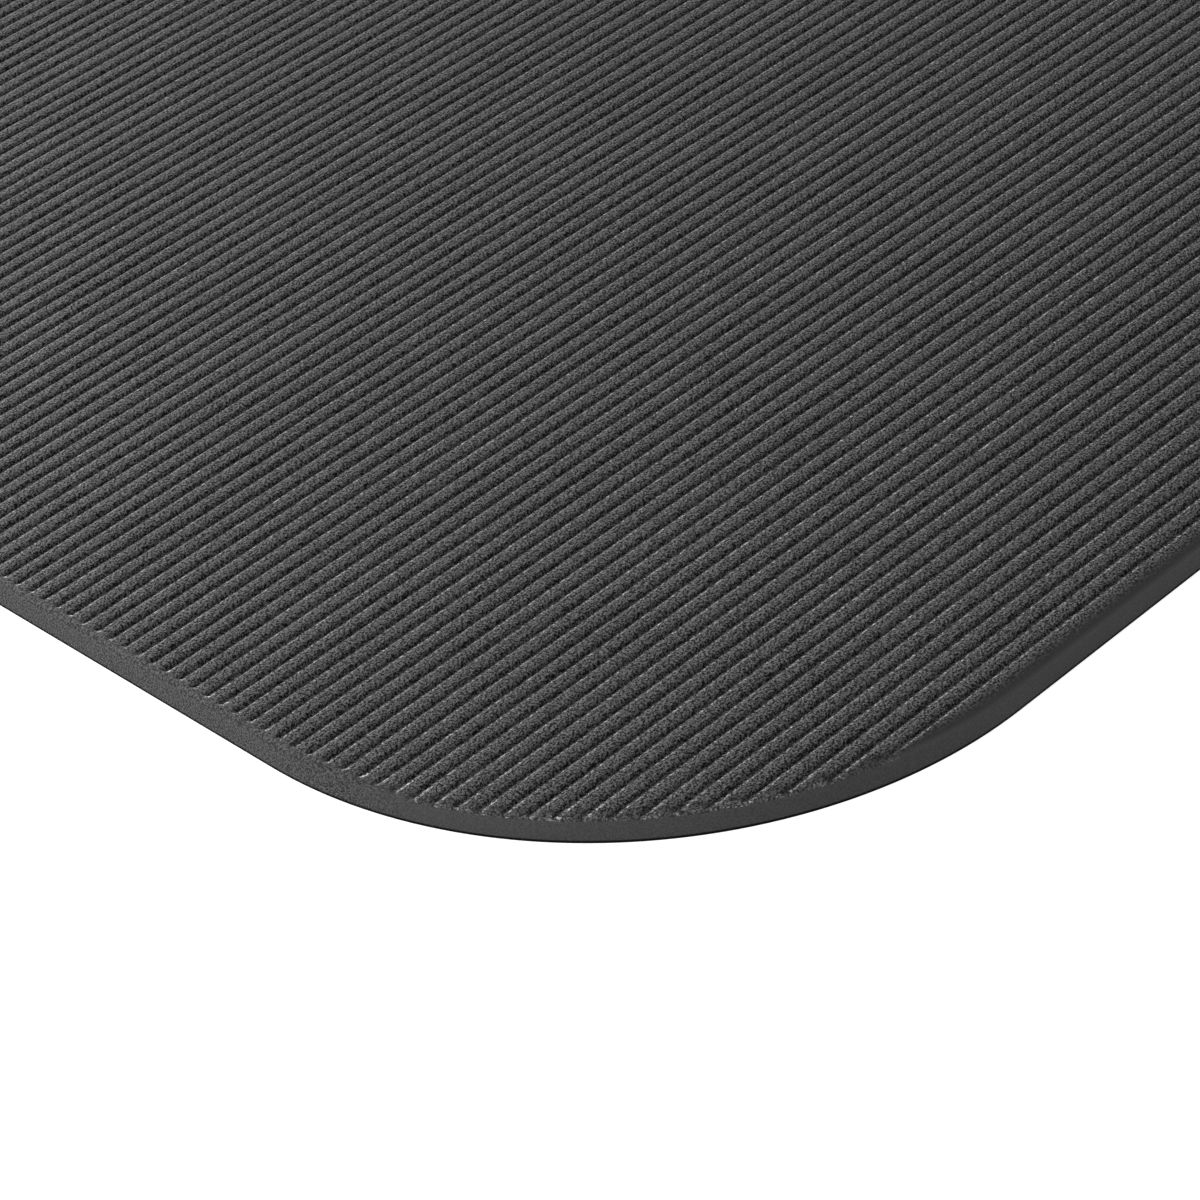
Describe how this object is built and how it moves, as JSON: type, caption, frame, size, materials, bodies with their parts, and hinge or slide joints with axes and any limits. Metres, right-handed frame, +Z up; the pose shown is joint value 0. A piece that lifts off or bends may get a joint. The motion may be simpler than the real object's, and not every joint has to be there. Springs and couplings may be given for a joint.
{
  "type": "anti fatigue mat",
  "caption": "Flat ribbed standing mat with large rounded corners: a grained cover with blind grooves on a foam core, a smooth side band and a base skin.",
  "frame": {"origin": "middle of the underside, on the floor", "axes": "+X along the ribs and the long sides, +Y across the ribs, +Z up"},
  "size_m": [0.914, 0.61, 0.0095],
  "materials": {
    "cover": "matt charcoal vinyl with a fine leather grain",
    "foam": "dark grey closed-cell foam",
    "band": "smooth satin charcoal vinyl",
    "base": "matt dark grip skin with a fine embossed texture"
  },
  "bodies": {
    "root": {"top_cover": "cover", "foam_core": "foam", "edge_band": "band", "base_skin": "base"}
  },
  "joints": []
}
